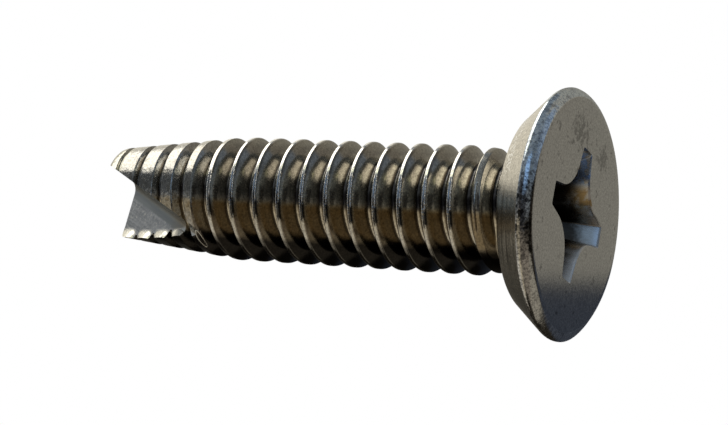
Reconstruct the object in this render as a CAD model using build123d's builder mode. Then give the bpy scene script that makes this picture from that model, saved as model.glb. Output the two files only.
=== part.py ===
from build123d import *

import os
from math import ceil, cos, radians, sin, tan

# Thread-cutting machine screw: undercut countersunk head, cross recess, one slanted cutting notch.
# It is one cold-headed, thread-rolled piece. Millimetres, +Z runs from the head face up to the
# point, the origin is the centre of the head face, and the screw stands on that face.

# Whole screw
length = 24.30  # head face to the end of the point
major_radius = 3.015  # over the thread crests

# Head: flat face, rolled edge, countersunk seat, undercut
head_radius = 5.80
edge_width = 0.46  # the rolled edge, across the face
edge_height = 0.45  # from the face to the widest place
edge_radius = 0.75  # its curve
edge_land = 0.12  # short straight land above it
seat_angle = 82  # included angle of the countersink
seat_rise = 1.48  # height of the seat, from the land to the undercut
undercut_rise = 0.14  # the underside leans this much towards the point
neck_step = 0.275  # the plain neck has the blank's radius, this much under the crests
neck_chamfer = 0.16  # fills the corner between the neck and the undercut

# Cross recess
recess_radius = 3.08  # centre to the end of a wing, at the face
recess_depth = 3.10  # to the end of the tapered walls
recess_taper = 26.5  # the wing ends lean inwards by this angle
wing_half_width = 0.53  # half the width of a wing at its end
wing_flare = 11.0  # each side of a wing opens towards the centre by this angle
corner_radius = 2.0  # the bulging corner between two wings
corner_share = 0.9  # the most of a wing's side that this corner may take
bottom_share = 0.62  # wing width and corner at the bottom, as a share of those at the face
recess_point_radius = 0.90  # the conical bottom
recess_point_depth = 0.42
recess_turn = 18.0  # rotation of the cross about the axis
recess_overcut = 0.2  # how far the recess cutter passes the face

# Thread: rolled right-hand groove of constant root
pitch = 1.27
thread_angle = 60
crest_width = 0.16  # flat on the crests, where the thread is full
root_width = 0.24  # flat at the bottom of the groove
groove_gap = 0.73  # from the undercut to the middle of the groove's beginning
groove_turn = 198.0  # angle about the axis where it begins
runout_length = 1.78  # the crests grow from the neck to full size over this height
groove_overcut = 0.06  # how far the groove cutter passes the crests

# Point: the blank tapers, so the crests there are cut short and flat
taper_length = 6.9
point_step = 0.02  # the taper ends this far inside the thread's root
point_chamfer = 0.32

# Cutting notch: a V with a rounded bottom that runs out through the side of the shank
notch_angle = 95
notch_bottom_radius = 0.5
notch_offset = 1.0  # bottom of the V beyond the axis, at the end of the point
notch_offset_turn = 65.0  # direction of that offset
notch_heading = -125.0  # the way the bottom of the notch climbs out
notch_slope = 33.0  # angle between the bottom of the notch and the axis
notch_roll = -11.5  # turn of the V about its own bottom line
notch_reach = 3 * major_radius  # cutter size, past every surface it cuts

# Heights up the axis and radii that follow from these sizes
land_height = edge_height + edge_land
seat_height = land_height + seat_rise
undercut_height = seat_height + undercut_rise
groove_start = undercut_height + groove_gap
full_thread_height = groove_start + runout_length
taper_start = length - taper_length

face_radius = head_radius - edge_width
seat_end_radius = head_radius - seat_rise * tan(radians(seat_angle / 2))
neck_radius = major_radius - neck_step
thread_depth = (pitch - crest_width - root_width) / 2 / tan(radians(thread_angle / 2))
root_radius = major_radius - thread_depth
point_radius = root_radius - point_step


def recess_section(height, share):
    """Cross of four flared wings with bulging corners between them, at one height."""
    end = recess_radius - height * tan(radians(recess_taper))
    half = wing_half_width * share
    # The flared sides of neighbouring wings meet on the diagonal between them
    flare = tan(radians(wing_flare))
    meet = (half + end * flare) / (1 + flare)
    side = (end - meet) / cos(radians(wing_flare))
    widest_corner = corner_share * side * tan(radians(45 + wing_flare))
    with BuildSketch(Plane.XY.offset(height).rotated((0, 0, recess_turn))) as cross:
        with PolarLocations(0, 4):
            Polygon((0, 0), (meet, -meet), (end, -half), (end, half), (meet, meet), align=None)
        inner_corners = cross.vertices().sort_by_distance((0, 0))[:4]
        fillet(inner_corners, min(corner_radius * share, widest_corner))
    return cross.sketch


# One turn of the thread groove, cut again at every pitch
with BuildPart() as groove:
    with BuildLine() as root_line:
        Helix(pitch, pitch, root_radius)
    helix = root_line.line
    with BuildSketch(Plane(helix @ 0, x_dir=(1, 0, 0), z_dir=helix % 0)):
        cut_depth = thread_depth + groove_overcut
        half_root = root_width / 2
        half_mouth = half_root + cut_depth * tan(radians(thread_angle / 2))
        Polygon(
            (0, -half_root),
            (cut_depth, -half_mouth),
            (cut_depth, half_mouth),
            (0, half_root),
            align=None,
        )
    sweep(path=helix, is_frenet=True)

# Cutter for the notch: its bottom line starts at the end of the point and climbs out of the side
heading, slope = radians(notch_heading), radians(notch_slope)
bottom_start = Vector(1, 0, 0).rotate(Axis.Z, notch_offset_turn) * notch_offset + Vector(0, 0, length)
bottom_line = Vector(sin(slope) * cos(heading), sin(slope) * sin(heading), -cos(slope))
mouth = Vector(cos(slope) * cos(heading), cos(slope) * sin(heading), sin(slope))
mouth = mouth.rotate(Axis((0, 0, 0), bottom_line), notch_roll)
with BuildPart() as notch:
    with BuildSketch(Plane(bottom_start, x_dir=mouth, z_dir=bottom_line)):
        reach = notch_reach * cos(radians(notch_angle / 2))
        half_width = notch_reach * sin(radians(notch_angle / 2))
        wedge = Polygon((0, 0), (reach, -half_width), (reach, half_width), align=None)
        fillet(wedge.vertices().sort_by_distance((0, 0))[0], notch_bottom_radius)
    extrude(amount=notch_reach, both=True)

with BuildPart() as screw:
    # Headed blank: one profile, turned
    with BuildSketch(Plane.XZ) as blank:
        with BuildLine():
            Line((0, 0), (face_radius, 0))
            RadiusArc((face_radius, 0), (head_radius, edge_height), -edge_radius)
            Polyline(
                (head_radius, edge_height),
                (head_radius, land_height),
                (seat_end_radius, seat_height),
                (neck_radius, undercut_height),
                (neck_radius, groove_start),
                (major_radius, full_thread_height),
                (major_radius, taper_start),
                (point_radius, length),
                (0, length),
            )
            Line((0, length), (0, 0))
        make_face()
        # A chamfer changes the outline, so each corner is looked up when its turn comes
        chamfer(blank.vertices().sort_by_distance((neck_radius, undercut_height))[0], neck_chamfer)
        chamfer(blank.vertices().sort_by_distance((point_radius, length))[0], point_chamfer)
    revolve(axis=Axis.Z)

    # Cross recess: tapered walls, then a conical bottom
    recess_sections = [recess_section(-recess_overcut, 1), recess_section(recess_depth, bottom_share)]
    loft(recess_sections, ruled=True, mode=Mode.SUBTRACT)
    with Locations((0, 0, recess_depth)):
        Cone(
            recess_point_radius,
            0,
            recess_point_depth,
            align=(Align.CENTER, Align.CENTER, Align.MIN),
            mode=Mode.SUBTRACT,
        )

    # Thread, up to the end of the point
    for turn in range(ceil((length - groove_start) / pitch)):
        with Locations(Location((0, 0, groove_start + turn * pitch), (0, 0, groove_turn))):
            add(groove.part, mode=Mode.SUBTRACT)

    add(notch.part, mode=Mode.SUBTRACT)

os.makedirs("parts", exist_ok=True)
screw.part.label = "screw"
export_step(screw.part, "parts/screw.step")
print(f"screw: {screw.part.volume:.1f} mm3, {len(screw.part.faces())} faces, {len(screw.part.solids())} solid")
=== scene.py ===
import bpy
import bmesh
from math import atan2, cos, hypot, pi, radians, sin, sqrt, tan
from mathutils import Matrix, Vector


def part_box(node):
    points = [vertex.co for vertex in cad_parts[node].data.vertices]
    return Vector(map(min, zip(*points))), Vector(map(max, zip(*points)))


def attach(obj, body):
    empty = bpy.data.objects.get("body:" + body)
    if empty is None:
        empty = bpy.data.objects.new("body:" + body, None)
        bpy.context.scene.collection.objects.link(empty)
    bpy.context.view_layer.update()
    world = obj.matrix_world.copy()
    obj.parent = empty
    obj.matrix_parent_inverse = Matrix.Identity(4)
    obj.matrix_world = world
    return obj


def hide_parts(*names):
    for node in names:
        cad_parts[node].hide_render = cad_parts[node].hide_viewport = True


# Metres. The screw stands on its head face, and +Z runs to its point.
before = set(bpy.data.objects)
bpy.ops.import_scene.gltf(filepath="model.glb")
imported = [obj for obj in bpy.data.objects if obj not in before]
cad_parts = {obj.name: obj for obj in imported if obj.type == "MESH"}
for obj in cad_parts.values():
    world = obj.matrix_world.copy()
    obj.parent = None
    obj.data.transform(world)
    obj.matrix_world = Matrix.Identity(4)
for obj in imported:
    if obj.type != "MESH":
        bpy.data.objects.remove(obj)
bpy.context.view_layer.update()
screwLow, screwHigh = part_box("screw")
mm = 0.001
screwLength = screwHigh[2] - screwLow[2]
headRadius = (screwHigh[0] - screwLow[0]) / 2


# Node trees are written as expressions on sockets

class Net:
    def __init__(self, tree):
        self.tree = tree
        tree.nodes.clear()

    # settings are set first, then the values or links of the sockets
    def node(self, kind, settings=None, inputs=None, output=0):
        made = self.tree.nodes.new(kind)
        for name, value in (settings or {}).items():
            setattr(made, name, value)
        for key, value in (inputs or {}).items():
            if isinstance(value, Wire):
                self.tree.links.new(value.socket, made.inputs[key])
            else:
                made.inputs[key].default_value = value
        return Wire(self, made.outputs[output]) if len(made.outputs) else made

    def mixColour(self, share, first, second, blend="MIX"):
        settings = {"data_type": "RGBA", "blend_type": blend}
        return self.node("ShaderNodeMix", settings, {0: share, 6: first, 7: second}, 2)


class Wire:
    def __init__(self, net, socket):
        self.net = net
        self.socket = socket

    def other(self, output):
        return Wire(self.net, self.socket.node.outputs[output])

    def math(self, operation, *values):
        sockets = dict(enumerate((self,) + values))
        return self.net.node("ShaderNodeMath", {"operation": operation}, sockets)

    def vectorMath(self, operation, *values, output=0):
        sockets = dict(enumerate((self,) + values))
        return self.net.node("ShaderNodeVectorMath", {"operation": operation}, sockets, output)

    def __add__(self, value):
        return self.math("ADD", value)

    def __sub__(self, value):
        return self.math("SUBTRACT", value)

    def __rsub__(self, value):
        return self.math("MULTIPLY_ADD", -1.0, value)

    def __mul__(self, value):
        return self.math("MULTIPLY", value)

    def __truediv__(self, value):
        return self.math("DIVIDE", value)

    def __pow__(self, value):
        return self.math("POWER", value)

    __radd__ = __add__
    __rmul__ = __mul__

    def atMost(self, value):
        return self.math("MINIMUM", value)

    def atLeast(self, value):
        return self.math("MAXIMUM", value)

    def below(self, value):
        return self.math("LESS_THAN", value)

    def above(self, value):
        return self.math("GREATER_THAN", value)

    # from start to end between two values, and level beyond them
    def ramp(self, low, high, start=0.0, end=1.0, curve="LINEAR"):
        sockets = {0: self, 1: low, 2: high, 3: start, 4: end}
        return self.net.node("ShaderNodeMapRange", {"interpolation_type": curve}, sockets)

    def step(self, low, high):
        return self.ramp(low, high, curve="SMOOTHSTEP")

    def band(self, low, high, soft):
        return self.step(low - soft, low + soft) * (1 - self.step(high - soft, high + soft))

    # moved to and fro by a noise, so that an edge drawn from it wanders
    def wander(self, pattern, reach):
        return self + (pattern - 0.5) * reach

    def split(self):
        parts = self.net.node("ShaderNodeSeparateXYZ", inputs={0: self})
        return parts, parts.other(1), parts.other(2)


# The turned and rolled body

head = dict(
    edgeWidth=0.46 * mm, edgeHeight=0.45 * mm, edgeRadius=0.75 * mm, edgeLand=0.12 * mm,
    seatAngle=radians(82), seatRise=1.48 * mm, seatRound=0.18 * mm, undercutRise=0.14 * mm,
    neckFillet=0.20 * mm, joinHeight=2.46 * mm, cornerRound=0.28 * mm,
    rollOffStart=2.1 * mm, rollOff=0.18 * mm,
    # rows of faces: shares of the way along each straight stretch, and steps round each curve
    faceRings=(0, 0.25, 0.45, 0.55, 0.62, 0.69, 0.76, 0.83, 0.9, 0.96),
    seatRings=(0.2, 0.35, 0.5, 0.65, 0.8), undercutRings=(0.4, 0.6, 0.8),
    edgeSteps=9, cornerSteps=8, seatSteps=7, neckSteps=6,
)
thread = dict(
    pitch=1.27 * mm, angle=radians(60), crestWidth=0.16 * mm, rootWidth=0.24 * mm,
    majorRadius=3.015 * mm, neckStep=0.275 * mm, grooveGap=0.73 * mm, grooveTurn=radians(198),
    runoutLength=1.78 * mm, startTurns=0.16, crestRound=0.05 * mm, rootRound=0.08 * mm,
    rootDeeper=0.10 * mm, bulge=0.06 * mm, bulgeRound=0.12,
    seamDepth=0.04 * mm, seamWidth=0.055 * mm,
    seamLow=-0.95 * mm, seamHigh=1.25 * mm, seamSoft=0.15 * mm,  # along X, where the seam is open
    unevenness=0.006 * mm, unevenScale=900.0, seed=3.0, evenHeight=0.3 * mm,
    shoulderPlace=0.7,  # where the blank is measured for the shoulder, in half pitches
    columns=144,
    # rows across one groove: 0 is its middle, 1 its shoulder, 2 the middle of the crest
    rows=(0, 0.12, 0.20, 0.28, 0.40, 0.52, 0.64, 0.80, 0.90, 0.97,
          1.03, 1.14, 1.35, 1.62, 1.82, 1.92, 2.0),
)
point = dict(taperLength=6.9 * mm, step=0.02 * mm, round=0.26 * mm)
sameSpot = 0.0008 * mm  # corners closer than this are merged

seatTop = head["edgeHeight"] + head["edgeLand"] + head["seatRise"]
undercutTop = seatTop + head["undercutRise"]
faceRadius = headRadius - head["edgeWidth"]
seatEndRadius = headRadius - head["seatRise"] * tan(head["seatAngle"] / 2)
neckRadius = thread["majorRadius"] - thread["neckStep"]
grooveStart = undercutTop + thread["grooveGap"]
flankSlope = tan(thread["angle"] / 2)
threadDepth = (thread["pitch"] - thread["crestWidth"] - thread["rootWidth"]) / 2 / flankSlope
pointRadius = thread["majorRadius"] - threadDepth - point["step"]
rootRadius = thread["majorRadius"] - threadDepth - thread["rootDeeper"]
rootWidth = thread["rootWidth"] - 2 * thread["rootDeeper"] * flankSlope
taperStart = screwLength - point["taperLength"]
turnCount = int((screwLength - grooveStart) / thread["pitch"]) + 3


# points of an arc of one radius between two points, the centre on the left of start -> end
def arcPoints(start, end, radius, count):
    start, end = Vector(start), Vector(end)
    half = (end - start) / 2
    height = sqrt(max(radius ** 2 - half.length_squared, 0))
    centre = start + half + Vector((-half.y, half.x)).normalized() * height
    first = start - centre
    turn = first.angle_signed(end - centre)
    return [centre + Matrix.Rotation(-turn * i / count, 2) @ first for i in range(count + 1)]


# rounds the corner of three points with an arc of one radius
def roundedCorner(before, corner, after, radius, count):
    before, corner, after = Vector(before), Vector(corner), Vector(after)
    inward, outward = (before - corner).normalized(), (after - corner).normalized()
    opening = inward.angle(outward)
    reach = radius / tan(opening / 2)
    centre = corner + (inward + outward).normalized() * (radius / sin(opening / 2))
    first, last = corner + inward * reach - centre, corner + outward * reach - centre
    turn = first.angle_signed(last)
    return [centre + Matrix.Rotation(-turn * i / count, 2) @ first for i in range(count + 1)]


# the headed blank's outline (radius, height), from the middle of the face to the neck
def headOutline():
    edgeEnd = Vector((headRadius, head["edgeHeight"]))
    landEnd = Vector((headRadius, head["edgeHeight"] + head["edgeLand"]))
    seatEnd = Vector((seatEndRadius, seatTop))
    undercutEnd = Vector((neckRadius, undercutTop))
    join = Vector((neckRadius, head["joinHeight"]))
    outline = [Vector((faceRadius * share, 0)) for share in head["faceRings"]]
    outline += arcPoints((faceRadius, 0), edgeEnd, head["edgeRadius"], head["edgeSteps"])
    outline += roundedCorner(edgeEnd, landEnd, seatEnd, head["cornerRound"], head["cornerSteps"])
    outline += [landEnd.lerp(seatEnd, share) for share in head["seatRings"]]
    outline += roundedCorner(landEnd, seatEnd, undercutEnd, head["seatRound"], head["seatSteps"])
    outline += [seatEnd.lerp(undercutEnd, share) for share in head["undercutRings"]]
    outline += roundedCorner(seatEnd, undercutEnd, join, head["neckFillet"], head["neckSteps"])
    return outline + [join]


def helperMesh(name, points):
    data = bpy.data.meshes.new(name)
    data.from_pydata(points, [], [])
    return bpy.data.objects.new(name, data)


# one named input for each size, and the fields that read them
def fieldInputs(net, group, sizes):
    kinds = {int: "NodeSocketInt", float: "NodeSocketFloat"}
    for name, value in sizes.items():
        kind = kinds.get(type(value), "NodeSocketObject")
        group.interface.new_socket(name=name, in_out="INPUT", socket_type=kind)
    source = net.node("NodeGroupInput")
    return {name: source.other(name) for name in sizes}


# radius of the blank at one height: neck, run-out, full size, taper and the rounded end
def blankRadius(net, height, sizes):
    runout = height.ramp(sizes["Groove start"], sizes["Groove start"] + sizes["Run-out"],
                         sizes["Neck radius"], sizes["Major radius"])
    taper = height.ramp(sizes["Taper start"], sizes["Length"],
                        sizes["Major radius"], sizes["Point radius"])
    roundStart = sizes["Length"] - sizes["Point round"]
    intoRound = (height - roundStart).atLeast(0.0)
    reach = (sizes["Point round"] ** 2 - intoRound ** 2).atLeast(0.0) ** 0.5
    rounded = sizes["End radius"] + reach + height.below(roundStart) * sizes["Major radius"]
    return runout.atMost(taper).atMost(rounded)


def bodyTree(material, values):
    group = bpy.data.node_groups.new("rolledBody", "GeometryNodeTree")
    net = Net(group)
    sizes = fieldInputs(net, group, values)
    group.interface.new_socket(name="Geometry", in_out="OUTPUT", socket_type="NodeSocketGeometry")

    threadRows = sizes["Turns"] * sizes["Rows a turn"]
    rows = sizes["Head rows"] + threadRows + 1
    grid = net.node("GeometryNodeMeshGrid", inputs={
        "Vertices X": sizes["Columns"] + 1, "Vertices Y": rows})
    index = net.node("GeometryNodeInputIndex")
    column = (index / rows).math("FLOOR")
    row = index - column * rows
    position = net.node("GeometryNodeInputPosition")

    def pointOf(name, place):
        source = net.node("GeometryNodeObjectInfo", inputs={0: sizes[name]}, output="Geometry")
        settings = {"data_type": "FLOAT_VECTOR", "clamp": True}
        return net.node("GeometryNodeSampleIndex", settings, {
            0: source, "Value": position, "Index": place})

    headRadiusHere, unused, headHeight = pointOf("Head outline", row).split()
    threadRow = row - sizes["Head rows"]
    turn = (threadRow / sizes["Rows a turn"]).math("FLOOR")
    place = pointOf("Row places", threadRow - turn * sizes["Rows a turn"]).split()[0]
    side = place.math("SIGN")
    reach = place.math("ABSOLUTE")
    turned = turn - 1 + column / sizes["Columns"]
    grooveHeight = sizes["Groove start"] + sizes["Pitch"] * turned

    # the shoulder between flank and crest moves towards the groove where the blank is slimmer
    halfPitch = sizes["Pitch"] / 2
    besideRadius = blankRadius(net, grooveHeight + side * halfPitch * thread["shoulderPlace"], sizes)
    halfRoot = sizes["Root width"] / 2
    shoulder = halfRoot + (besideRadius - sizes["Root radius"]).atLeast(0.0) * sizes["Flank slope"]
    onFlank = reach.atMost(1.0) * shoulder
    onCrest = (reach - 1).atLeast(0.0) * (halfPitch - shoulder)
    across = onFlank + onCrest
    height = (grooveHeight + side * across).atLeast(sizes["Neck height"]).atMost(sizes["Length"])
    blank = blankRadius(net, height, sizes)
    upFlank = (across - halfRoot) / sizes["Flank slope"]
    share = (upFlank / (sizes["Major radius"] - sizes["Root radius"])).atLeast(0.0).atMost(1.0)
    bulge = share.math("SMOOTH_MIN", 1 - share, sizes["Bulge round"]) * 2 * sizes["Bulge"]
    flank = sizes["Root radius"] + upFlank + bulge
    profile = flank.math("SMOOTH_MIN", blank, sizes["Crest round"])
    profile = profile.math("SMOOTH_MAX", sizes["Root radius"], sizes["Root round"]).atMost(blank)
    angle = sizes["Groove turn"] + column / sizes["Columns"] * (2 * pi)
    aside = blank * angle.math("COSINE")
    seamOpen = aside.band(sizes["Seam low"], sizes["Seam high"], sizes["Seam soft"])
    seamOpen = seamOpen * height.below(sizes["Taper start"])
    toSeam = ((halfPitch - across) / sizes["Seam width"]).atMost(1.0)
    seam = (1 - toSeam) ** 2 * sizes["Seam depth"] * seamOpen
    started = turned.step(0.0, sizes["Start turns"])
    between = height.above(sizes["Neck height"] + sameSpot) * height.below(sizes["Length"] - sameSpot)
    threadRadius = blank - (blank - profile + seam) * started * between

    last = row.above(sizes["Head rows"] + threadRows - 0.5)
    inHead = row.below(sizes["Head rows"] - 0.5)

    def choose(test, chosen, otherwise):
        return otherwise + test * (chosen - otherwise)

    radius = choose(inHead, headRadiusHere, choose(last, 0.0 * threadRadius, threadRadius))
    level = choose(inHead, headHeight, choose(last, sizes["Length"] + 0.0 * height, height))

    # the face falls away a little towards one side of its rim
    beyond = (radius * angle.math("COSINE") * -1.0 - sizes["Roll-off start"]).atLeast(0.0)
    fall = (beyond / sizes["Roll-off width"]) ** 2 * sizes["Roll-off"]
    level = level + fall * (1 - level / sizes["Edge height"]).atLeast(0.0)

    def place3(distance):
        return net.node("ShaderNodeCombineXYZ", inputs={
            0: distance * angle.math("COSINE"), 1: distance * angle.math("SINE"), 2: level})

    # rolling leaves the surface a little uneven
    noise = net.node("ShaderNodeTexNoise", {"noise_dimensions": "4D"},
                     {"Vector": place3(radius), "W": sizes["Seed"], "Scale": sizes["Uneven scale"],
                      "Detail": 2.0})
    offAxis = radius.step(sizes["Point radius"] / 2, sizes["Point radius"])
    onSide = offAxis * level.step(0.0, thread["evenHeight"])
    uneven = radius + (noise - 0.5) * sizes["Unevenness"] * onSide
    moved = net.node("GeometryNodeSetPosition", inputs={0: grid, "Position": place3(uneven)})
    merged = net.node("GeometryNodeMergeByDistance", inputs={0: moved, "Distance": sameSpot})
    smooth = net.node("GeometryNodeSetShadeSmooth", inputs={0: merged})
    real = net.node("GeometryNodeRealizeInstances", inputs={0: smooth})
    finished = net.node("GeometryNodeSetMaterial", inputs={0: real, "Material": material})
    net.node("NodeGroupOutput", inputs={0: finished})
    return group


def setInput(modifier, name, value):
    for item in modifier.node_group.interface.items_tree:
        if item.item_type == "SOCKET" and item.in_out == "INPUT" and item.name == name:
            modifier[item.identifier] = value


def plainMesh(obj, name):
    result = bpy.data.meshes.new_from_object(obj.evaluated_get(bpy.context.evaluated_depsgraph_get()))
    result.name = name
    obj.modifiers.clear()
    return result


def makeBody(material):
    outline = helperMesh("headOutline", [(p.x, 0, p.y) for p in headOutline()])
    places = [-place for place in reversed(thread["rows"][1:])] + list(thread["rows"][:-1])
    rowHelper = helperMesh("rowPlaces", [(place, 0, 0) for place in places])
    body = bpy.data.objects.new("rolledBody", bpy.data.meshes.new("rolledBody"))
    bpy.context.collection.objects.link(body)
    slope = (thread["majorRadius"] - pointRadius) / point["taperLength"]
    endRadius = pointRadius + point["round"] * slope - point["round"] * sqrt(1 + slope ** 2)
    values = {
        "Columns": thread["columns"], "Turns": turnCount, "Head rows": len(outline.data.vertices),
        "Rows a turn": len(places), "Head outline": outline, "Row places": rowHelper,
        "Pitch": thread["pitch"], "Length": screwLength, "Groove start": grooveStart,
        "Groove turn": thread["grooveTurn"], "Start turns": thread["startTurns"],
        "Run-out": thread["runoutLength"], "Neck radius": neckRadius,
        "Neck height": head["joinHeight"], "Major radius": thread["majorRadius"],
        "Root radius": rootRadius, "Root width": rootWidth, "Flank slope": flankSlope,
        "Crest round": thread["crestRound"], "Root round": thread["rootRound"],
        "Bulge": thread["bulge"], "Bulge round": thread["bulgeRound"],
        "Seam depth": thread["seamDepth"], "Seam width": thread["seamWidth"],
        "Seam low": thread["seamLow"], "Seam high": thread["seamHigh"], "Seam soft": thread["seamSoft"],
        "Taper start": taperStart, "Point radius": pointRadius, "Point round": point["round"],
        "End radius": endRadius, "Unevenness": thread["unevenness"],
        "Uneven scale": thread["unevenScale"], "Seed": thread["seed"],
        "Edge height": head["edgeHeight"], "Roll-off start": head["rollOffStart"],
        "Roll-off width": faceRadius - head["rollOffStart"], "Roll-off": head["rollOff"],
    }
    modifier = body.modifiers.new("rolledBody", "NODES")
    modifier.node_group = bodyTree(material, values)
    for name, value in values.items():
        setInput(modifier, name, value)
    body.data = plainMesh(body, "rolledBody")
    return body


# The punched recess and the milled notch

recess = dict(
    radius=3.08 * mm, depth=3.10 * mm, taper=radians(26.5), halfWidth=0.53 * mm, flare=radians(11),
    cornerRadius=2.0 * mm, bottomShare=0.62, pointRadius=0.90 * mm, pointDepth=0.42 * mm,
    turn=radians(18), overcut=0.2 * mm, wingRound=0.07 * mm, wingSteps=3, cornerSteps=14,
    # rings of the cutter: the rounded mouth (height, outset), the walls, and the pit (share, drop)
    mouthRings=((-0.2, 0.22), (-0.02, 0.06), (0.02, 0.03), (0.06, 0.01), (0.11, 0.0)),
    wallRings=(0.3, 0.65, 1.0), pitRings=((1.0, 0.0), (0.35, 0.65), (0.05, 0.98)),
    pitInset=0.999,
)
notch = dict(
    angle=radians(95), bottomRadius=0.5 * mm, offset=1.0 * mm, offsetTurn=radians(65),
    heading=radians(-125), slope=radians(33), roll=radians(-11.5), reach=9.0 * mm, bottomSteps=16,
    # the lips on the teeth: size, shape, and the rows and columns of the wall that carries them
    lipWidth=0.55 * mm, lipRise=0.17 * mm, lipShare=0.40, lipCurve=1.2, lipLimit=1.3,
    lipStep=0.07 * mm, lipReach=5.0 * mm, stepsBefore=4, stepsAfter=10,
)


# one wing's outline and the corner after it, at one depth
def wingOutline(depth, share):
    end = recess["radius"] - depth * tan(recess["taper"])
    half = recess["halfWidth"] * share
    flare = tan(recess["flare"])
    meet = (half + end * flare) / (1 + flare)
    corner = Vector((meet, meet))
    wingSide, nextSide = Vector((end, half)), Vector((half, end))
    radius, steps = recess["wingRound"] * share, recess["wingSteps"]
    outline = roundedCorner((meet, -meet), (end, -half), wingSide, radius, steps)
    outline += roundedCorner((end, -half), wingSide, corner, radius, steps)
    cornerRadius = recess["cornerRadius"] * share
    return outline + roundedCorner(wingSide, corner, nextSide, cornerRadius, recess["cornerSteps"])


def crossOutline(depth, share):
    wing = wingOutline(depth, share)
    turns = [Matrix.Rotation(quarter * pi / 2 + recess["turn"], 2) for quarter in range(4)]
    return [turn @ p for turn in turns for p in wing]


def ringMesh(name, rings, material):
    data = bmesh.new()
    loops = [[data.verts.new(p) for p in ring] for ring in rings]
    for lower, upper in zip(loops, loops[1:]):
        for i in range(len(lower)):
            j = (i + 1) % len(lower)
            data.faces.new((lower[i], lower[j], upper[j], upper[i]))
    for ring in (loops[0], loops[-1]):
        data.faces.new(ring)
    bmesh.ops.recalc_face_normals(data, faces=data.faces)
    for face in data.faces:
        face.smooth = True
    result = bpy.data.meshes.new(name)
    data.to_mesh(result)
    data.free()
    result.materials.append(material)
    obj = bpy.data.objects.new(name, result)
    bpy.context.collection.objects.link(obj)
    return obj


def makeRecessCutter(material):
    mouth = crossOutline(-recess["overcut"], 1)
    bottom = crossOutline(recess["depth"], recess["bottomShare"])
    fall = recess["depth"] + recess["overcut"]

    def ring(height, outset):
        share = (height + recess["overcut"]) / fall
        points = [m.lerp(b, share) for m, b in zip(mouth, bottom)]
        placed = []
        for i, p in enumerate(points):
            along = points[(i + 1) % len(points)] - points[i - 1]
            outward = Vector((along.y, -along.x)).normalized()
            placed.append(Vector((*(p + outward * outset), height)))
        return placed

    rings = [ring(height * mm, outset * mm) for height, outset in recess["mouthRings"]]
    rings += [ring(recess["depth"] * share, 0) for share in recess["wallRings"]]
    for share, drop in recess["pitRings"]:
        share *= recess["pitInset"]
        pit = [p.normalized() * min(p.length, recess["pointRadius"]) * share for p in bottom]
        rings.append([Vector((p.x, p.y, recess["depth"] + recess["pointDepth"] * drop)) for p in pit])
    return ringMesh("recessCutter", rings, material)


# where the bottom line of the notch starts, at the end of the point
def notchStart():
    aside = Vector((cos(notch["offsetTurn"]), sin(notch["offsetTurn"]), 0)) * notch["offset"]
    return aside + Vector((0, 0, screwLength))


# the way that line runs
def notchAlong():
    heading, slope = notch["heading"], notch["slope"]
    return Vector((sin(slope) * cos(heading), sin(slope) * sin(heading), -cos(slope)))


def makeNotchCutter(material):
    heading, slope = notch["heading"], notch["slope"]
    start, along = notchStart(), notchAlong()
    mouth = Vector((cos(slope) * cos(heading), cos(slope) * sin(heading), sin(slope)))
    mouth = Matrix.Rotation(notch["roll"], 3, along) @ mouth
    across = along.cross(mouth)
    half = notch["angle"] / 2
    edge = Vector((cos(half), sin(half))) * notch["reach"]
    steps = int(notch["lipReach"] / notch["lipStep"])
    farEdge = Vector((edge.x, -edge.y))
    corner = roundedCorner(farEdge, (0, 0), edge, notch["bottomRadius"], notch["bottomSteps"])
    first = corner[-1]
    wall = (edge - first).normalized()
    section = [farEdge] + corner
    section += [first + wall * (notch["lipStep"] * i) for i in range(1, steps)] + [edge]
    stops = range(-notch["stepsBefore"], steps + notch["stepsAfter"])
    places = [-notch["reach"]] + [notch["lipStep"] * i for i in stops] + [notch["reach"]]
    wallOut = mouth * wall.y - across * wall.x
    if wallOut.dot(mouth) < 0:
        wallOut = -wallOut

    # the cutter pushes the ends of the teeth up, so each one stands a little proud
    def pushed(place, i):
        if i <= len(corner) or i == len(section) - 1:
            return place
        taper = max(place.z - taperStart, 0) / point["taperLength"]
        crest = thread["majorRadius"] - taper * (thread["majorRadius"] - pointRadius)
        share = (hypot(place.x, place.y) - crest) / notch["lipWidth"] + 1
        turned = atan2(place.y, place.x) - thread["grooveTurn"]
        phase = (place.z - grooveStart) / thread["pitch"] - turned / (2 * pi)
        fromCrest = abs(phase % 1 - 0.5)
        tooth = min(max((0.5 - fromCrest) / notch["lipShare"], 0), 1)
        tooth = tooth * tooth * (3 - 2 * tooth)
        rise = min(max(share, 0), notch["lipLimit"]) ** notch["lipCurve"] * tooth * notch["lipRise"]
        return place + wallOut * rise

    rings = []
    for place in places:
        base = start + along * place
        rings.append([pushed(base + mouth * p.x + across * p.y, i) for i, p in enumerate(section)])
    return ringMesh("notchCutter", rings, material)


def cutOut(body, cutter):
    modifier = body.modifiers.new(cutter.name, "BOOLEAN")
    modifier.operation = "DIFFERENCE"
    modifier.solver = "EXACT"
    modifier.material_mode = "TRANSFER"
    modifier.object = cutter
    body.data = plainMesh(body, body.name)
    bpy.data.objects.remove(cutter)


# A thin loop of metal that the cutter leaves beside the end of the notch
burr = dict(angle=radians(-136), height=18.59 * mm, radius=2.89 * mm, halfLength=0.56 * mm,
            halfWidth=0.15 * mm, lean=0.14, wire=0.032 * mm, steps=40, sides=8)


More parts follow.
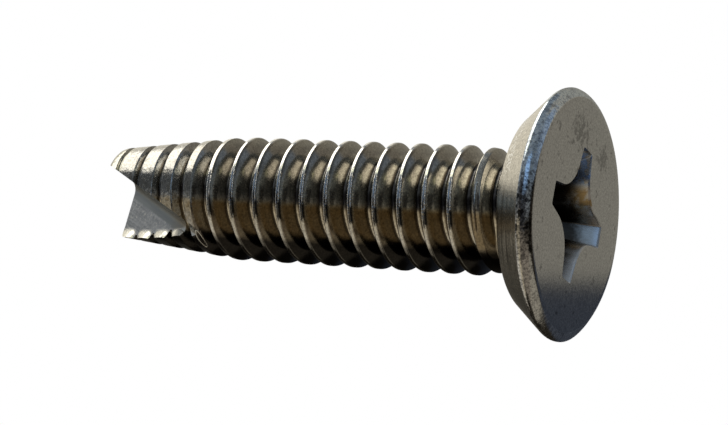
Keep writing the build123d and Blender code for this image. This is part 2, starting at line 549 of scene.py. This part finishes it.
def addBurr(body, material):
    data = bmesh.new()
    data.from_mesh(body.data)
    slot = list(body.data.materials).index(material)
    loops = []
    for i in range(burr["steps"]):
        turn = 2 * pi * i / burr["steps"]
        along, aside = cos(turn) * burr["halfLength"], sin(turn) * burr["halfWidth"]
        outward = Vector((cos(turn) * burr["halfWidth"], sin(turn) * burr["halfLength"]))
        outward.normalize()
        loop = []
        for j in range(burr["sides"]):
            lift = sin(2 * pi * j / burr["sides"]) * burr["wire"]
            spread = outward * cos(2 * pi * j / burr["sides"]) * burr["wire"]
            angle = burr["angle"] + (along + spread.x) / burr["radius"]
            radius = burr["radius"] + lift
            height = burr["height"] + along * burr["lean"] + aside + spread.y
            loop.append(data.verts.new((radius * cos(angle), radius * sin(angle), height)))
        loops.append(loop)
    made = []
    for i in range(burr["steps"]):
        lower, upper = loops[i - 1], loops[i]
        for j in range(burr["sides"]):
            made.append(data.faces.new((lower[j - 1], lower[j], upper[j], upper[j - 1])))
    for face in made:
        face.material_index = slot
        face.smooth = True
    bmesh.ops.recalc_face_normals(data, faces=made)
    data.to_mesh(body.data)
    data.free()


# Finishes

def finish(name):
    material = bpy.data.materials.new(name)
    material.use_nodes = True
    net = Net(material.node_tree)
    return material, net, net.node("ShaderNodeTexCoord", output="Object")


def shade(net, colour, roughness, height, depth):
    normal = net.node("ShaderNodeBump", inputs={"Strength": 1.0, "Distance": depth, "Height": height})
    shader = net.node("ShaderNodeBsdfPrincipled", {}, {
        "Base Color": colour, "Metallic": 1.0, "Roughness": roughness, "Normal": normal})
    net.node("ShaderNodeOutputMaterial", inputs={0: shader})


def noise(net, vector, scale, detail=2.0, roughness=0.5):
    return net.node("ShaderNodeTexNoise", inputs={
        "Vector": vector, "Scale": scale, "Detail": detail, "Roughness": roughness})


def combine(net, x, y, z):
    return net.node("ShaderNodeCombineXYZ", inputs={0: x, 1: y, 2: z})


# where a spot lies round the axis and across one turn of the thread
class Spot:
    def __init__(self, place):
        self.x, self.y, self.z = place.split()
        self.radius = (self.x * self.x + self.y * self.y) ** 0.5
        self.angle = self.y.math("ARCTAN2", self.x)
        turned = (self.angle - thread["grooveTurn"]) / (2 * pi)
        self.turns = (self.z - grooveStart) / thread["pitch"] - turned
        self.offCrest = self.turns - self.turns.math("FLOOR") - 0.5  # in turns, + to the point


# Rolled thread. A pair holds the start and end of a soft step, and a third value a band's softness.
# Edges and zones lie along X, and bands across the turns, from the middle of the crest or the root.
rolled = dict(
    flank=(0.49, 0.465, 0.40, 1), flankShade=(0.27, 0.25, 0.22, 1), flankBrownReflection=(0.30, 0.25, 0.175, 1),
    lowSideShade=(0.035, 0.031, 0.026, 1), root=(0.66, 0.62, 0.54, 1), rootShade=(0.12, 0.115, 0.11, 1),
    darkShade=(0.10, 0.085, 0.065, 1), crest=(0.93, 0.91, 0.86, 1), crestLow=(0.66, 0.63, 0.56, 1),
    seam=(0.03, 0.036, 0.055, 1), shaded=(0.05, 0.05, 0.05, 1), bright=(0.50, 0.495, 0.47, 1),
    nose=(0.56, 0.545, 0.47, 1),
    brownReflectionEdge=(-0.30 * mm, 0.02 * mm), brownReflectionWander=0.3 * mm,
    lowSideShadeEdge=(-2.0 * mm, -1.6 * mm), lowSideShadeWander=0.4 * mm,
    shadedRootEdge=(-0.55 * mm, -0.1 * mm), shadedRootWander=0.5 * mm,
    rootBand=(-0.07 * mm, 0.10 * mm, 0.02 * mm), cornerShadeBand=(-0.13 * mm, -0.06 * mm, 0.02 * mm),
    flankShadeFromRoot=(0.28 * mm, 0.44 * mm), flankShadeHeight=(4 * mm, 20 * mm), flankShadeShare=0.7,
    besideBand=(-0.42 * mm, -0.14 * mm, 0.03 * mm), besideZone=(1.3 * mm, 2.6 * mm, 0.3 * mm),
    besideShare=0.6,
    threadGap=0.02 * mm, fullRadius=(2.86 * mm, 2.98 * mm), crestEdge=(0.09 * mm, 0.12 * mm),
    crestLowEdge=(-0.8 * mm, 0.1 * mm), lowSideShadeOnCrest=0.75,
    crestSide=(-0.16 * mm, -0.06 * mm, 0.015 * mm), crestSideZone=(1.1 * mm, 2.7 * mm, 0.2 * mm),
    crestSideShare=0.8, seamBand=(0.0, 0.045 * mm, 0.01 * mm), closedSeam=0.4,
    seamStretch=(0.0008, 0.00002), seamScale=1500, seamGaps=(0.42, 0.58),
    shadedBand=(-0.15 * mm, -0.02 * mm, 0.012 * mm), shadedZone=(-0.80 * mm, 0.0, 0.12 * mm),
    shadedWander=0.9 * mm, ridgePlace=0.078 * mm, ridgeEdge=(0.018 * mm, 0.042 * mm),
    lineBand=(-0.02 * mm, 0.10 * mm, 0.01 * mm), lineZone=(-0.95 * mm, -0.1 * mm, 0.1 * mm),
    taperRise=2.5 * mm, taperReach=0.5 * mm, wornPatches=(0.38, 0.50), wornShare=0.85, unworn=0.35,
    noseEdge=(-1.1 * mm, -0.8 * mm), noseShare=0.8,
    fineScale=9000, grainScale=21000, broadScale=1400, patchScale=3200,
    fineTone=1.3, grainTone=1.2, broadTone=0.3, leastTone=0.3,
    roughness=0.15, fineRoughness=0.10, ridgeRoughness=0.12,
    fineHeight=0.5, grainHeight=0.3, ridgeHeight=24.0, taperHeight=10.0, grain=2.2e-6,
)


# a spot on the rolled piece, with the patterns and zones that its colours share
class RolledSpot(Spot):
    def __init__(self, net, place):
        super().__init__(place)
        self.fine = noise(net, place, rolled["fineScale"], 3)
        self.grain = noise(net, place, rolled["grainScale"], 2)
        self.broad = noise(net, place, rolled["broadScale"], 3)
        self.patches = noise(net, place, rolled["patchScale"], 3, 0.6)
        self.across = self.offCrest * thread["pitch"]  # from the crest, + to the point
        self.fromCrest = self.across.math("ABSOLUTE")
        self.fromRoot = thread["pitch"] / 2 - self.fromCrest
        self.rootSide = self.fromRoot * self.across.math("SIGN") * -1.0  # from the root, + to the point
        self.inThread = self.z.above(undercutTop + rolled["threadGap"])
        self.fullCrest = self.radius.step(*rolled["fullRadius"]) * self.inThread
        # painted near-black shade on the lowest side of the shank
        self.lowSideShade = 1 - self.x.wander(self.broad, rolled["lowSideShadeWander"]).step(*rolled["lowSideShadeEdge"])
        self.seamZone = self.x.band(thread["seamLow"], thread["seamHigh"], thread["seamSoft"])
        onTaper = self.z.step(taperStart, taperStart + rolled["taperRise"])
        self.onTaper = onTaper * self.fromCrest.below(rolled["taperReach"])


# painted reflection, shade and light on the flanks and in the root
def flankColour(net, at):
    # painted brown reflection on the lower side of the flanks
    brownReflection = 1 - at.x.wander(at.broad, rolled["brownReflectionWander"]).step(*rolled["brownReflectionEdge"])
    colour = net.mixColour(brownReflection, rolled["flank"], rolled["flankBrownReflection"])
    # painted near-black shade on the lowest side of the shank
    colour = net.mixColour(at.lowSideShade, colour, rolled["lowSideShade"])
    # in the root, painted shade on the upper side and painted light on the lower side
    inRoot = at.rootSide.band(*rolled["rootBand"])
    shadedRootSide = at.x.wander(at.broad, rolled["shadedRootWander"]).step(*rolled["shadedRootEdge"])
    colour = net.mixColour(inRoot * shadedRootSide, colour, rolled["rootShade"])
    colour = net.mixColour(inRoot * (1 - shadedRootSide), colour, rolled["root"])
    # painted shade in the root's corner on the head side
    colour = net.mixColour(at.rootSide.band(*rolled["cornerShadeBand"]), colour, rolled["darkShade"])
    # painted shade on the flanks near the root, on the upper side
    shadedNearRoot = (1 - at.fromRoot.step(*rolled["flankShadeFromRoot"])) * at.z.step(*rolled["flankShadeHeight"])
    colour = net.mixColour(shadedNearRoot * (1 - brownReflection) * rolled["flankShadeShare"], colour, rolled["flankShade"])
    # painted shade beside the crests on the upper side
    beside = at.across.band(*rolled["besideBand"]) * at.x.band(*rolled["besideZone"])
    return net.mixColour(beside * rolled["besideShare"], colour, rolled["flankShade"])


# painted highlight along the crests, and painted shade beside them and in the seam that rolling leaves along
# them
def crestColour(net, at, colour):
    # painted highlight along the crests, dimmer on the lower side
    crest = net.mixColour(at.x.step(*rolled["crestLowEdge"]), rolled["crestLow"], rolled["crest"])
    onCrest = 1 - at.fromCrest.step(*rolled["crestEdge"])
    share = onCrest * at.fullCrest * (1 - at.lowSideShade * rolled["lowSideShadeOnCrest"])
    colour = net.mixColour(share, colour, crest)
    # painted shade beside the crests on the upper side, narrowing their highlight
    side = at.across.band(*rolled["crestSide"]) * at.x.band(*rolled["crestSideZone"])
    colour = net.mixColour(side * at.fullCrest * rolled["crestSideShare"], colour, rolled["darkShade"])
    # painted shade in the seam along the crests
    roundStretch, turnStretch = rolled["seamStretch"]
    alongSeam = combine(net, at.angle * roundStretch, 0.0, at.turns * turnStretch)
    openSeam = noise(net, alongSeam, rolled["seamScale"], 2).step(*rolled["seamGaps"])
    inSeam = at.across.band(*rolled["seamBand"]) * at.seamZone * at.fullCrest
    seamShare = inSeam * (rolled["closedSeam"] + (1 - rolled["closedSeam"]) * openSeam)
    colour = net.mixColour(seamShare, colour, rolled["seam"])
    unevenX = at.x.wander(at.patches, rolled["shadedWander"])
    shaded = at.across.band(*rolled["shadedBand"]) * unevenX.band(*rolled["shadedZone"])
    return net.mixColour(shaded * at.fullCrest, colour, rolled["shaded"])


# the crests of the taper are worn bright in patches
def taperColour(net, at, colour):
    patches = rolled["unworn"] + (1 - rolled["unworn"]) * at.patches.step(*rolled["wornPatches"])
    worn = at.onTaper * patches * (1 - at.lowSideShade)
    colour = net.mixColour(worn * rolled["wornShare"], colour, rolled["bright"])
    onNose = at.z.step(*(screwLength + place for place in rolled["noseEdge"]))
    return net.mixColour(onNose * rolled["noseShare"], colour, rolled["nose"])


# Cold-headed head: cone, edge and face. Zones lie along X here too.
headed = dict(
    cone=(0.66, 0.63, 0.56, 1), coneStreak=(0.16, 0.14, 0.11, 1), coneBrownReflection=(0.34, 0.29, 0.21, 1),
    coneLowShade=(0.26, 0.25, 0.21, 1), coneGlint=(1.0, 0.99, 0.95, 1),
    edge=(0.72, 0.71, 0.68, 1), edgeBlueReflection=(0.80, 0.90, 1.0, 1), edgeDark=(0.22, 0.22, 0.22, 1),
    dark=(0.05, 0.05, 0.05, 1), face=(0.54, 0.545, 0.53, 1), faceStain=(0.19, 0.19, 0.185, 1),
    coneHeight=(0.6 * mm, 2.2 * mm, 0.03 * mm), ringStretch=0.00012, ringScale=4500,
    ringLimit=0.56, ringContrast=6.0,
    streakZone=(-2.4 * mm, 0.8 * mm, 0.6 * mm),
    coneReflectionZone=(-0.9 * mm, 0.6 * mm, 0.35 * mm), coneReflectionShare=0.6, lowEdge=(-4.5 * mm, -1.8 * mm),
    glintRadius=(4.70 * mm, 5.05 * mm, 0.08 * mm), glintZone=(1.8 * mm, 4.4 * mm, 0.4 * mm),
    speckEdge=(0.53, 0.60),
    edgeHeight=(0.02 * mm, 0.62 * mm, 0.02 * mm), edgeGap=0.02 * mm, blueReflectionEdge=(0.5 * mm, 1.8 * mm),
    edgeShare=0.6, edgeShadeZone=(-1.9 * mm, 1.6 * mm, 0.5 * mm), edgeShadeShare=0.95,
    spotPatches=(0.40, 0.46), spotFine=(0.35, 0.55), spotLeast=0.5, spotInEdgeShade=0.7,
    faceHeight=0.3 * mm, stainShare=0.85,
    stainFine=(0.35, 0.5), dirtBroad=(0.58, 0.66), dirtPatches=(0.45, 0.6),
    # middle, half-widths, how far noise moves the edge, and the edge, in half-widths
    blot=dict(x=3.8 * mm, y=-0.1 * mm, wide=0.62 * mm, high=0.95 * mm, wander=6.5, edge=(0.5, 1.2)),
    smudge=dict(x=2.7 * mm, y=2.8 * mm, wide=0.55 * mm, high=0.6 * mm, wander=5.5, edge=(0.4, 1.2)),
    coneRoughness=0.08, faceRoughness=-0.02, ringHeight=0.9, edgeRelief=6.0,
)


# streaks on the cone, a painted brownish reflection across its middle, painted shade on its lower side and
# painted highlight specks on its upper side
def coneColour(net, at, rings):
    streaks = at.x.band(*headed["streakZone"]) * (headed["ringLimit"] - rings).atLeast(0.0)
    cone = net.mixColour(streaks * headed["ringContrast"], headed["cone"], headed["coneStreak"])
    # painted brownish reflection across the middle of the cone
    cone = net.mixColour(at.x.band(*headed["coneReflectionZone"]) * headed["coneReflectionShare"], cone, headed["coneBrownReflection"])
    # painted shade on the lower side of the cone
    cone = net.mixColour(at.x.step(*headed["lowEdge"]), headed["coneLowShade"], cone)
    # painted highlight specks on the upper side of the cone
    coneGlints = at.radius.band(*headed["glintRadius"]) * at.x.band(*headed["glintZone"])
    return net.mixColour(coneGlints * at.fine.step(*headed["speckEdge"]), cone, headed["coneGlint"])


# the edge is spotted, with a painted bluish reflection on its upper side and painted black shade in its
# middle
def edgeColour(net, at, colour, onEdge):
    least = headed["spotLeast"]
    spots = at.patches.step(*headed["spotPatches"])
    spots = spots * (least + (1 - least) * at.fine.step(*headed["spotFine"]))
    # painted bluish reflection on the upper side of the edge
    edge = net.mixColour(at.x.step(*headed["blueReflectionEdge"]), headed["edge"], headed["edgeBlueReflection"])
    colour = net.mixColour(onEdge, colour, edge)
    colour = net.mixColour(onEdge * headed["edgeShare"] * (1 - spots), colour, headed["edgeDark"])
    # painted black shade across the middle of the edge
    edgeShaded = onEdge * at.x.band(*headed["edgeShadeZone"]) * headed["edgeShadeShare"]
    return net.mixColour(edgeShaded * (1 - spots * headed["spotInEdgeShade"]), colour, headed["dark"])


def stainShape(at, stain):
    x, y = (at.x - stain["x"]) / stain["wide"], (at.y - stain["y"]) / stain["high"]
    return 1 - ((x * x + y * y) ** 0.5).wander(at.patches, stain["wander"]).step(*stain["edge"])


def faceColour(net, at, colour, onFace):
    colour = net.mixColour(onFace, colour, headed["face"])
    stain = stainShape(at, headed["blot"]).atLeast(stainShape(at, headed["smudge"]))
    dirt = at.broad.step(*headed["dirtBroad"]) * at.patches.step(*headed["dirtPatches"])
    stain = (stain * at.fine.step(*headed["stainFine"])).atLeast(dirt)
    return net.mixColour(stain * onFace * headed["stainShare"], colour, headed["faceStain"])


def makeRolledSteel():
    material, net, place = finish("rolledSteel")
    at = RolledSpot(net, place)
    ringPlace = combine(net, at.radius, 0.0, at.angle * headed["ringStretch"])
    rings = noise(net, ringPlace, headed["ringScale"], 3, 0.6)
    onCone = at.z.band(*headed["coneHeight"])
    onEdge = at.z.band(*headed["edgeHeight"]) * at.radius.above(faceRadius + headed["edgeGap"])
    onFace = at.z.below(headed["faceHeight"]) * at.radius.below(faceRadius + headed["edgeGap"])

    colour = taperColour(net, at, crestColour(net, at, flankColour(net, at)))
    colour = net.mixColour(at.inThread, coneColour(net, at, rings), colour)
    colour = edgeColour(net, at, colour, onEdge)
    colour = faceColour(net, at, colour, onFace)
    tone = (at.fine - 0.5) * rolled["fineTone"] + (at.grain - 0.5) * rolled["grainTone"]
    tone = (tone + (at.broad - 0.5) * rolled["broadTone"] + 1).atLeast(rolled["leastTone"])
    colour = net.mixColour(1.0, colour, combine(net, tone, tone, tone), "MULTIPLY")

    offRidge = (at.fromCrest - rolled["ridgePlace"]).math("ABSOLUTE")
    inRidge = at.seamZone - at.seamZone * offRidge.step(*rolled["ridgeEdge"])
    inLine = at.across.band(*rolled["lineBand"]) * at.x.band(*rolled["lineZone"])
    roughness = rolled["roughness"] + (at.fine - 0.5) * rolled["fineRoughness"]
    roughness = roughness + inRidge * at.fullCrest * rolled["ridgeRoughness"]
    roughness = roughness + onFace * headed["faceRoughness"] + onCone * headed["coneRoughness"]
    height = at.fine * rolled["fineHeight"] + at.grain * rolled["grainHeight"]
    height = height + onCone * rings * headed["ringHeight"] + onEdge * at.patches * headed["edgeRelief"]
    height = height + inRidge.atLeast(inLine) * at.fullCrest * at.fine * rolled["ridgeHeight"]
    height = height + at.onTaper * at.patches * rolled["taperHeight"]
    shade(net, colour, roughness, height, rolled["grain"])
    return material


milled = dict(
    colour=(0.66, 0.665, 0.66, 1), dark=(0.42, 0.43, 0.435, 1), bottom=(0.42, 0.44, 0.43, 1),
    speckAndLipHighlight=(0.90, 0.88, 0.80, 1), stained=(0.40, 0.35, 0.27, 1),
    stretch=0.94, streakScale=11000, speckleScale=8000, broadScale=900,
    streakContrast=2.6, broadContrast=1.4, speckleContrast=1.8, middle=0.55,
    speckEdge=(0.60, 0.68), speckShare=0.7, bottomShadeEdge=(0.577 * mm, 0.663 * mm),
    stainHeight=(19.6 * mm, 21.2 * mm), stainWander=0.6 * mm, stainShare=0.8,
    toothEdge=(0.30, 0.42), lipEdge=(-0.55 * mm, -0.40 * mm), lipWander=0.12 * mm,
    roughness=0.26, streakRoughness=0.14, lipRoughness=-0.12, speckleHeight=0.6, streak=3.0e-6,
)


# fine streaks run along the bottom line of the notch; painted shade darkens its rounded bottom, and painted
# highlight lies on the lips at the ends of the teeth
def makeMilledSteel():
    material, net, place = finish("milledSteel")
    start, along = notchStart(), notchAlong()
    length = place.vectorMath("DOT_PRODUCT", along, output="Value")
    shift = net.node("ShaderNodeVectorMath", {"operation": "SCALE"}, {
        0: along, "Scale": length * milled["stretch"]})
    drawn = place.vectorMath("SUBTRACT", shift)
    streaks = noise(net, drawn, milled["streakScale"], 3, 0.6)
    speckle = noise(net, place, milled["speckleScale"], 2)
    broad = noise(net, place, milled["broadScale"], 2)
    share = (streaks - 0.5) * milled["streakContrast"] + (broad - 0.5) * milled["broadContrast"]
    share = share + (speckle - 0.5) * milled["speckleContrast"] + milled["middle"]
    colour = net.mixColour(share.atLeast(0.0).atMost(1.0), milled["dark"], milled["colour"])
    colour = net.mixColour(speckle.step(*milled["speckEdge"]) * milled["speckShare"], colour, milled["speckAndLipHighlight"])
    # painted shade along the rounded bottom of the notch
    offLine = place.vectorMath("SUBTRACT", start).vectorMath("CROSS_PRODUCT", along)
    fromLine = offLine.vectorMath("LENGTH", output="Value")
    colour = net.mixColour(1 - fromLine.step(*milled["bottomShadeEdge"]), colour, milled["bottom"])
    at = Spot(place)
    atEnd = 1 - at.z.wander(broad, milled["stainWander"]).step(*milled["stainHeight"])
    colour = net.mixColour(atEnd * milled["stainShare"], colour, milled["stained"])
    # painted highlight on the lips at the ends of the teeth; the same pale colour also marks random specks
    crest = at.z.ramp(taperStart, screwLength, thread["majorRadius"], pointRadius)
    onTooth = 1 - at.offCrest.math("ABSOLUTE").step(*milled["toothEdge"])
    onLip = (at.radius - crest).wander(speckle, milled["lipWander"]).step(*milled["lipEdge"]) * onTooth
    colour = net.mixColour(onLip, colour, milled["speckAndLipHighlight"])
    roughness = milled["roughness"] + streaks * milled["streakRoughness"] + onLip * milled["lipRoughness"]
    shade(net, colour, roughness, streaks + speckle * milled["speckleHeight"], milled["streak"])
    return material


punched = dict(
    mouth=(0.66, 0.67, 0.68, 1), wall=(0.50, 0.47, 0.42, 1), recessShade=(0.06, 0.05, 0.04, 1),
    tinted=(0.44, 0.33, 0.18, 1), lit=(0.95, 0.96, 0.98, 1), bluishReflection=(0.40, 0.55, 0.85, 1),
    lineScale=9000, lineStretch=0.12, blotchScale=2600,
    wallHeight=(0.05 * mm, 0.4 * mm), recessShadeHeight=(0.35 * mm, 1.25 * mm), recessShadeWander=1.2 * mm,
    tintZone=(0.35 * mm, 1.25 * mm, 0.15 * mm), tintWander=0.8 * mm, tintSide=(0.3 * mm, 0.7 * mm),
    tintBlotches=(0.40, 0.55), blueZone=(1.25 * mm, 1.6 * mm), blueBlotches=(0.42, 0.5),
    sideWander=0.5 * mm,
    hiddenZone=(-0.9 * mm, 2.3 * mm, 0.15 * mm), hiddenSide=(0.7 * mm, 1.0 * mm), hiddenShare=0.85,
    lowZone=(-2.1 * mm, -1.8 * mm), litSide=(-0.75 * mm, -0.55 * mm), lowShare=0.8,
    roughness=0.20, lineRoughness=0.16, blotchHeight=0.6, drag=2.5e-6,
)


# the punch drags fine lines down the walls; painted shade darkens the depth, the hidden side and one side of
# the lower wing, painted highlight lies on its other side, and a painted bluish reflection on the upper wing
def makePunchedSteel():
    material, net, place = finish("punchedSteel")
    x, y, z = place.split()
    lines = noise(net, combine(net, x, y, z * punched["lineStretch"]), punched["lineScale"], 3, 0.6)
    blotches = noise(net, place, punched["blotchScale"], 3)
    colour = net.mixColour(z.step(*punched["wallHeight"]), punched["mouth"], punched["wall"])
    tint = x.wander(blotches, punched["tintWander"]).band(*punched["tintZone"]) * y.step(*punched["tintSide"])
    colour = net.mixColour(tint * blotches.step(*punched["tintBlotches"]), colour, punched["tinted"])
    # painted bluish reflection on the upper wing
    blue = x.step(*punched["blueZone"]) * blotches.step(*punched["blueBlotches"])
    colour = net.mixColour(blue, colour, punched["bluishReflection"])
    # painted shade deeper in the recess
    sunk = z.wander(blotches, punched["recessShadeWander"])
    colour = net.mixColour(sunk.step(*punched["recessShadeHeight"]), colour, punched["recessShade"])
    # painted shade on the hidden side of the recess
    unevenY = y.wander(blotches, punched["sideWander"])
    hidden = (1 - unevenY.step(*punched["hiddenSide"])) * x.band(*punched["hiddenZone"])
    colour = net.mixColour(hidden * punched["hiddenShare"], colour, punched["recessShade"])
    # on the lower wing, a painted highlight on the lit side and painted shade on the other
    lowWing = 1 - x.step(*punched["lowZone"])
    litSide = unevenY.step(*punched["litSide"])
    colour = net.mixColour(lowWing * litSide * punched["lowShare"], colour, punched["lit"])
    colour = net.mixColour(lowWing * (1 - litSide) * punched["lowShare"], colour, punched["recessShade"])
    roughness = punched["roughness"] + lines * punched["lineRoughness"]
    shade(net, colour, roughness, lines + blotches * punched["blotchHeight"], punched["drag"])
    return material


rolledSteel, punchedSteel, milledSteel = makeRolledSteel(), makePunchedSteel(), makeMilledSteel()
print("finishes mixed")

sharpAngle = radians(32)
screw = makeBody(rolledSteel)
print("body rolled:", len(screw.data.vertices), "vertices")
cutOut(screw, makeRecessCutter(punchedSteel))
cutOut(screw, makeNotchCutter(milledSteel))
screw.name = "steelScrew"
screw.data.set_sharp_from_angle(angle=sharpAngle)
if screw.data.materials[0] is None:
    screw.data.materials.pop(index=0)
addBurr(screw, milledSteel)
triangleCount = sum(len(face.vertices) - 2 for face in screw.data.polygons)
print("recess and notch cut:", triangleCount, "triangles")
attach(screw, "root")
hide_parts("screw")


# Floor, tent, lamp and camera

view = dict(target=(-0.372 * mm, 0, 10.865 * mm), distance=104.665 * mm, dip=radians(26.93),
            roll=radians(2.96), lens=108.65, nearest=1 * mm)


def makeCamera():
    camera = bpy.data.objects.new("camera", bpy.data.cameras.new("camera"))
    bpy.context.collection.objects.link(camera)
    back = Vector((0, -cos(view["dip"]), -sin(view["dip"])))
    up = Matrix.Rotation(view["roll"], 3, back) @ Vector((1, 0, 0))
    right = up.cross(back)
    turn = Matrix((right, up, back)).transposed()
    camera.matrix_world = Matrix.LocRotScale(Vector(view["target"]) + back * view["distance"], turn, None)
    camera.data.lens = view["lens"]
    camera.data.clip_start = view["nearest"]
    bpy.context.scene.camera = camera


floorSize = dict(half=3.0, drop=0.02 * mm, colour=(0.86, 0.86, 0.85, 1))


# pale from above and clear from below
def makeFloor():
    material, net, unused = finish("paleFloor")
    below = net.node("ShaderNodeNewGeometry", output="Backfacing")
    pale = net.node("ShaderNodeBsdfDiffuse", inputs={"Color": floorSize["colour"]})
    clear = net.node("ShaderNodeBsdfTransparent")
    mixed = net.node("ShaderNodeMixShader", inputs={0: below, 1: pale, 2: clear})
    net.node("ShaderNodeOutputMaterial", inputs={0: mixed})
    data = bpy.data.meshes.new("floor")
    half, level = floorSize["half"], -floorSize["drop"]
    corners = [(-half, -half, level), (half, -half, level), (half, half, level), (-half, half, level)]
    data.from_pydata(corners, [], [(0, 1, 2, 3)])
    data.materials.append(material)
    floor = bpy.data.objects.new("floor", data)
    bpy.context.collection.objects.link(floor)
    floor.visible_glossy = False
    floor.visible_shadow = False


# a soft lamp, out of the metal's reflections, draws the shadow on the floor
lamp = dict(strength=1.3, spread=radians(24), lean=radians(38), bearing=radians(-40), fill=0.62)


def makeLamp():
    data = bpy.data.lights.new("softLamp", "SUN")
    data.energy = lamp["strength"]
    data.angle = lamp["spread"]
    obj = bpy.data.objects.new("softLamp", data)
    bpy.context.collection.objects.link(obj)
    turn = Matrix.Rotation(lamp["bearing"], 4, "Z") @ Matrix.Rotation(lamp["lean"], 4, "X")
    obj.matrix_world = turn
    obj.visible_glossy = False


# The tent round the screw: soft panels that the metal reflects, each one laid over those before it.
# A place on it is a bearing round the cross axis X, from the point's side (0) past the back (90)
# and the head's side (180) to the front (-90), and a rise above or under the long axis.
tentRadius = 0.5
tentBase = (0.17, 0.19, 0.21)
tentPanels = {  # bearing, rise, softness of the edges, light
    "low ground": ((-200, 200), (-95, -2), 3, (0.020, 0.017, 0.013)),
    "back wall": ((55, 115), (-3.5, 50), 1.5, (0.27, 0.255, 0.22)),
    "back corner": ((112, 150), (-3.5, 60), 1.5, (0.27, 0.25, 0.215)),
    "head side": ((136, 163), (12, 50), 4, (0.21, 0.25, 0.31)),
    "head back": ((163, 210), (12, 50), 4, (0.14, 0.165, 0.20)),
    "head front": ((-210, -140), (14, 50), 6, (0.10, 0.115, 0.13)),
    "dark front": ((-150, -52), (-16, 30), 4, (0.036, 0.038, 0.043)),
    "blue card": ((-150, -122), (17, 42), 4, (0.29, 0.43, 0.64)),
    "front gap": ((-48, -26), (-6, 40), 3, (0.075, 0.08, 0.085)),
    "front left": ((-60, -47), (-10, 6), 2, (0.36, 0.37, 0.38)),
    "table head": ((-200, -112), (-64, -14), 5, (0.19, 0.165, 0.135)),
    "table front": ((-112, -36), (-75, -4), 4, (0.40, 0.35, 0.26)),
    "table point": ((-56, 6), (-75, -24), 5, (0.44, 0.41, 0.35)),
    "low strip": ((-28, -4), (-46, -1), 3, (0.50, 0.47, 0.42)),
    "table tip": ((6, 60), (-40, -8), 5, (0.07, 0.065, 0.055)),
    "under the back": ((76, 130), (-30, -3.5), 1.5, (0.045, 0.052, 0.068)),
    "under the head": ((132, 200), (-66, -18), 5, (0.26, 0.24, 0.20)),
    "head gap": ((136, 205), (-14, 12), 4, (0.015, 0.013, 0.010)),
    "notch side": ((-30, 8), (0, 36), 4, (0.20, 0.215, 0.235)),
    "horizon": ((6, 62), (-10, 3), 3, (0.26, 0.24, 0.20)),
    "window sill": ((10, 62), (3, 36), 4, (0.80, 0.76, 0.66)),
    "window": ((-30, 47), (37, 68), 3, (2.3, 2.2, 2.0)),
    "window left": ((-49, -39), (52, 62), 8, (3.2, 3.2, 2.35)),
}


def makeTent():
    material, net, place = finish("tentLight")
    x, y, z = place.vectorMath("NORMALIZE").split()
    toDegrees = 180 / pi
    rise = x.math("ARCSINE") * toDegrees
    bearing = y.math("ARCTAN2", z) * toDegrees
    colour = tentBase + (1,)
    for bearings, rises, soft, light in tentPanels.values():
        inside = bearing.band(*bearings, soft) * rise.band(*rises, soft)
        colour = net.mixColour(inside, colour, (*light, 1))
    glow = net.node("ShaderNodeEmission", inputs={"Color": colour, "Strength": 1.0})
    net.node("ShaderNodeOutputMaterial", inputs={0: glow})
    material.cycles.emission_sampling = "NONE"
    data = bmesh.new()
    bmesh.ops.create_uvsphere(data, u_segments=48, v_segments=24, radius=tentRadius)
    bmesh.ops.reverse_faces(data, faces=data.faces)
    result = bpy.data.meshes.new("tent")
    data.to_mesh(result)
    data.free()
    result.materials.append(material)
    obj = bpy.data.objects.new("tent", result)
    bpy.context.collection.objects.link(obj)
    obj.visible_camera = False
    obj.visible_diffuse = False
    obj.visible_shadow = False
    obj.visible_transmission = False


def makeWorld():
    world = bpy.data.worlds.new("studio")
    bpy.context.scene.world = world
    world.use_nodes = True
    net = Net(world.node_tree)
    path = net.node("ShaderNodeLightPath", output="Is Camera Ray")
    seen = path.atLeast(path.other("Is Glossy Ray")).atLeast(path.other("Is Transmission Ray"))
    strength = seen.ramp(0.0, 1.0, lamp["fill"], 1.0)
    backdrop = net.node("ShaderNodeBackground", inputs={"Color": (1, 1, 1, 1), "Strength": strength})
    net.node("ShaderNodeOutputWorld", inputs={0: backdrop})


makeCamera()
makeFloor()
makeLamp()
makeTent()
makeWorld()
bpy.context.scene.view_settings.view_transform = "Standard"
print("stage set")
